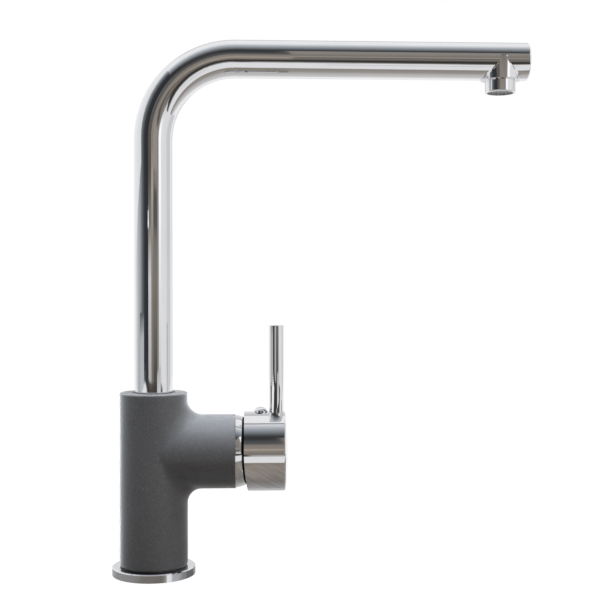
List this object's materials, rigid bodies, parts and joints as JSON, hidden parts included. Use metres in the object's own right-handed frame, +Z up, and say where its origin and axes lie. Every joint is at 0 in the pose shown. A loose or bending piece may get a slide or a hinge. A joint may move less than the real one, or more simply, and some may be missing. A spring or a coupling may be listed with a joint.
{
  "type": "kitchen mixer tap",
  "caption": "Single-lever kitchen mixer: round cast body with a side handle that tilts and turns on a ceramic disc cartridge, and a tall L-shaped swivel spout with an aerator.",
  "frame": {"origin": "centre of the column on the deck surface", "axes": "+Z up along the spout's swivel axis; +X along the spout arm and the handle branch; +Y across, to the left of the spout"},
  "size_m": [0.2809, 0.0554, 0.3587],
  "materials": {
    "polished_chrome": "mirror-polished plating",
    "granite_coat": "fine-textured anthracite granite-effect coat",
    "brass": "machined",
    "rubber": "smooth",
    "dark_plastic": "moulded",
    "light_plastic": "moulded",
    "ceramic": "lapped",
    "steel": "bright stainless"
  },
  "bodies": {
    "base": {"base_ring": "polished_chrome", "deck_gasket": "rubber", "base_seal": "rubber", "inlet_block": "brass", "inlet_seals": "rubber", "body_casting": "granite_coat", "wear_ring": "dark_plastic", "snap_ring": "steel", "port_seals": "rubber", "cartridge_base": "light_plastic", "disc_gasket": "rubber", "fixed_disc": "ceramic", "cartridge_housing": "light_plastic", "cartridge_nut": "brass", "dome_collar": "polished_chrome"},
    "spout": {"spout_tube": "polished_chrome", "spout_end_plug": "polished_chrome", "spout_foot": "brass", "spout_seals": "rubber", "lower_wear_ring": "dark_plastic", "nozzle_sleeve": "brass", "aerator_housing": "polished_chrome", "aerator_mesh": "steel", "aerator_insert": "light_plastic", "aerator_gasket": "rubber"},
    "carrier": {"turning_carrier": "dark_plastic", "stem_pin": "steel"},
    "disc": {"moving_disc": "ceramic", "disc_slider": "dark_plastic"},
    "handle": {"lever_stem": "steel", "handle_cap": "polished_chrome", "lever_pin": "polished_chrome", "screw_cover_button": "polished_chrome", "grub_screw": "steel"}
  },
  "joints": [
    {"name": "spout_swivel", "type": "hinge", "parent": "base", "child": "spout", "pos_m": [0, 0, 0.0938], "axis": [0, 0, 1], "continuous": true},
    {"name": "handle_turn", "type": "hinge", "parent": "base", "child": "carrier", "pos_m": [0.052, 0, 0.082], "axis": [1, 0, 0], "range_deg": [-50, 50]},
    {"name": "handle_tilt", "type": "hinge", "parent": "carrier", "child": "handle", "pos_m": [0.052, 0, 0.082], "axis": [0, 1, 0], "range_deg": [0, 20]},
    {"name": "disc_slide", "type": "slide", "parent": "carrier", "child": "disc", "axis": [0, 0, 1], "range_m": [0, 0.0046]}
  ],
  "couplings": [
    {"joint": "disc_slide", "follows": "handle_tilt", "m_per_rad": 0.013}
  ]
}
